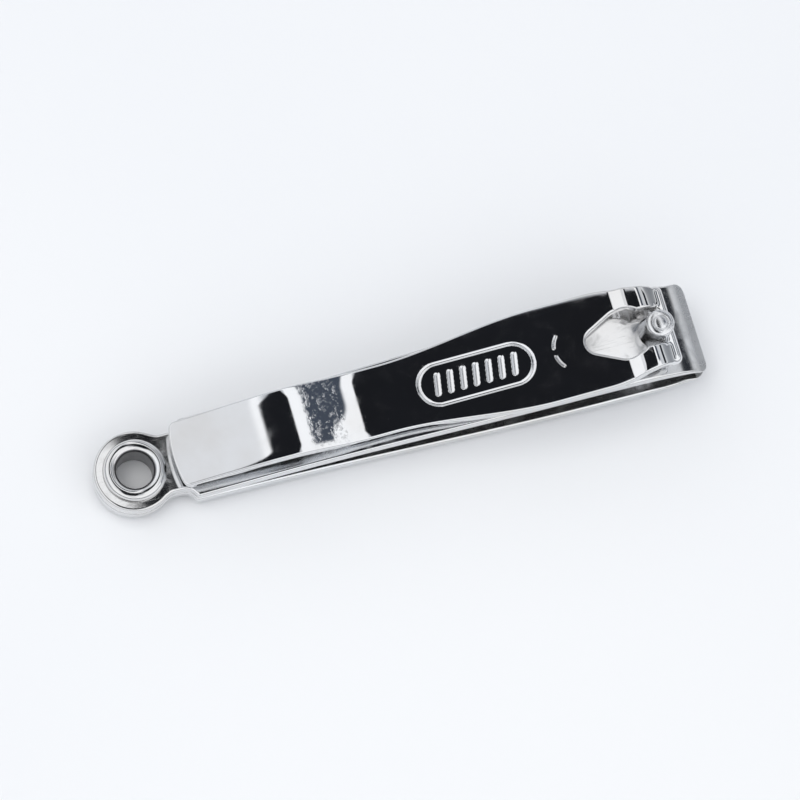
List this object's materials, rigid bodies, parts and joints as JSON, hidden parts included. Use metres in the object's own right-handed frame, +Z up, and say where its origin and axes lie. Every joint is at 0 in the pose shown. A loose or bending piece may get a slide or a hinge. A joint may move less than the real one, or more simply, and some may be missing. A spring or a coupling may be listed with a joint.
{
  "type": "nail clipper",
  "caption": "Lever nail clipper folded flat: two spring arms on a hollow rivet, bent cutting jaws, and a post with a swivelling, folding cam lever.",
  "frame": {"origin": "centre of the outline, on the floor plane that the rivet's rim and the post's foot rest on", "axes": "+X along the clipper towards the cutting edges, +Y across it, +Z up through the folded lever"},
  "size_m": [0.064, 0.0104, 0.0109],
  "materials": {
    "arm_chrome": "polished, bright plated",
    "rivet_chrome": "polished, bright plated",
    "post_steel": "turned, bright plated",
    "lever_chrome": "mirror polished, bright plated"
  },
  "bodies": {
    "frame": {"lower_arm": "arm_chrome", "eyelet": "rivet_chrome"},
    "top_jaw": {"upper_arm": "arm_chrome"},
    "swivel_post": {"post": "post_steel"},
    "lever": {"lever": "lever_chrome"}
  },
  "joints": [
    {"name": "jaw_squeeze", "type": "hinge", "parent": "frame", "child": "top_jaw", "pos_m": [-0.0278, 0, 0.0021], "axis": [0, 1, 0], "range_deg": [0, 1.3], "stiffness_Nm_per_rad": 25},
    {"name": "post_swivel", "type": "hinge", "parent": "frame", "child": "swivel_post", "pos_m": [0.0272, 0, 0], "axis": [0, 0, 1], "continuous": true},
    {"name": "lever_fold", "type": "hinge", "parent": "swivel_post", "child": "lever", "pos_m": [0.02805, 0, 0.00895], "axis": [0, 1, 0], "range_deg": [0, 146]}
  ]
}
